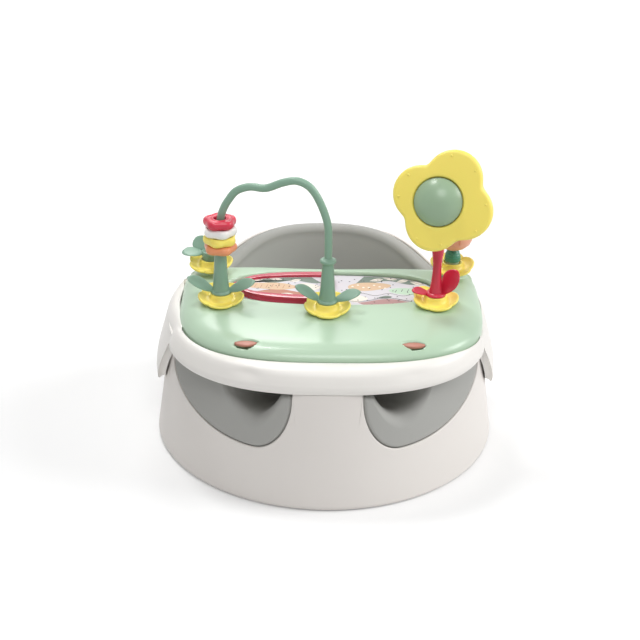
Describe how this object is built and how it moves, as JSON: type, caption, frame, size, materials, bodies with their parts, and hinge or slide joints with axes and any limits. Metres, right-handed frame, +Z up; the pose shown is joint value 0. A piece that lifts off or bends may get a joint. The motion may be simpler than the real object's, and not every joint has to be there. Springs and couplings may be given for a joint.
{
  "type": "baby floor seat with activity tray",
  "caption": "Round baby floor seat: hard shell, soft insert with leg channels, clip-on tray and a toy tray with beads on a bent wire, a flip page, a turning flower and leafy stations.",
  "frame": {"origin": "on the floor, under the middle of the round base", "axes": "+Z up; the seated child faces -Y, so the tray and the leg openings are on the -Y side and the backrest is on the +Y side; +X is to the right in the picture, on the seated child's left"},
  "size_m": [0.3885, 0.3886, 0.3522],
  "materials": {
    "shell_white": "satin white moulded plastic",
    "tray_white": "satin white moulded plastic",
    "seat_grey": "matte soft grey foam with a closed skin",
    "pad_rubber": "matte grip pad",
    "steel": "plain screw steel",
    "tray_mint": "satin pastel green plastic",
    "card_print": "printed card under a satin film",
    "page_print": "printed card under a satin film",
    "latch_coral": "satin coral plastic",
    "page_raspberry": "clear-tinted glossy raspberry plastic",
    "petal_yellow": "satin soft yellow plastic",
    "stem_teal": "satin grey-green plastic",
    "stem_raspberry": "glossy raspberry plastic",
    "bead_coral": "satin coral plastic",
    "bead_white": "glossy white plastic",
    "dome_green": "glossy green plastic",
    "deep_green": "glossy deep green plastic",
    "bud_coral": "satin coral plastic"
  },
  "bodies": {
    "seat": {"outer_shell": "shell_white", "base_plate": "shell_white", "base_screws": "steel", "foot_pads": "pad_rubber", "seat_insert": "seat_grey"},
    "tray": {"tray_base": "tray_white"},
    "activity": {"activity_tray": "tray_mint", "print_card": "card_print", "page_hinge_pin": "steel", "petals_left": "petal_yellow", "petals_centre": "petal_yellow", "petals_right": "petal_yellow", "petals_rear_left": "petal_yellow", "petals_rear_right": "petal_yellow", "stem_left": "stem_teal", "stem_centre": "stem_teal", "stem_right": "stem_raspberry", "leaves_left": "stem_teal", "leaves_centre": "stem_teal", "leaves_right": "stem_raspberry", "bead_wire": "stem_teal", "flower_spindle": "steel", "rosette_post": "stem_teal", "bud_post": "tray_mint", "station_screws": "steel"},
    "latch_l": {"latch_left": "latch_coral"},
    "latch_r": {"latch_right": "latch_coral"},
    "page": {"page_frame": "page_raspberry", "page_card": "page_print"},
    "bead_1": {"bead_coral": "bead_coral"},
    "bead_2": {"bead_yellow": "petal_yellow"},
    "bead_3": {"bead_white": "bead_white"},
    "bead_4": {"bead_red": "stem_raspberry"},
    "flower": {"flower_head": "petal_yellow", "flower_dome": "dome_green"},
    "rosette": {"leaf_rosette": "stem_teal"},
    "bud": {"bud_hub": "deep_green", "bud_cup": "bud_coral"}
  },
  "joints": [
    {"name": "tray_lift", "type": "slide", "parent": "seat", "child": "tray", "axis": [0, 0, 1], "range_m": [0, 0.06]},
    {"name": "activity_lift", "type": "slide", "parent": "tray", "child": "activity", "axis": [0, 0, 1], "range_m": [0, 0.04]},
    {"name": "latch_left_press", "type": "slide", "parent": "activity", "child": "latch_l", "axis": [0, 1, 0], "range_m": [0, 0.003], "stiffness_N_per_m": 400},
    {"name": "latch_right_press", "type": "slide", "parent": "activity", "child": "latch_r", "axis": [0, 1, 0], "range_m": [0, 0.003], "stiffness_N_per_m": 400},
    {"name": "page_flip", "type": "hinge", "parent": "activity", "child": "page", "pos_m": [0.006, 0.007, 0.1739], "axis": [0, 1, 0], "range_deg": [0, 170]},
    {"name": "bead_1_spin", "type": "hinge", "parent": "activity", "child": "bead_1", "pos_m": [-0.117, -0.033, 0.229], "axis": [0, 0, 1], "continuous": true},
    {"name": "bead_2_spin", "type": "hinge", "parent": "activity", "child": "bead_2", "pos_m": [-0.117, -0.033, 0.229], "axis": [0, 0, 1], "continuous": true},
    {"name": "bead_3_spin", "type": "hinge", "parent": "activity", "child": "bead_3", "pos_m": [-0.117, -0.033, 0.229], "axis": [0, 0, 1], "continuous": true},
    {"name": "bead_4_spin", "type": "hinge", "parent": "activity", "child": "bead_4", "pos_m": [-0.117, -0.033, 0.229], "axis": [0, 0, 1], "continuous": true},
    {"name": "flower_spin", "type": "hinge", "parent": "activity", "child": "flower", "pos_m": [0.12, -0.033, 0.291], "axis": [-0.2139, -0.9267, 0.309], "continuous": true},
    {"name": "rosette_spin", "type": "hinge", "parent": "activity", "child": "rosette", "pos_m": [-0.134, 0.05, 0.188], "axis": [0, 0, 1], "continuous": true},
    {"name": "bud_spin", "type": "hinge", "parent": "activity", "child": "bud", "pos_m": [0.146, 0.05, 0.186], "axis": [0, 0, 1], "continuous": true}
  ]
}
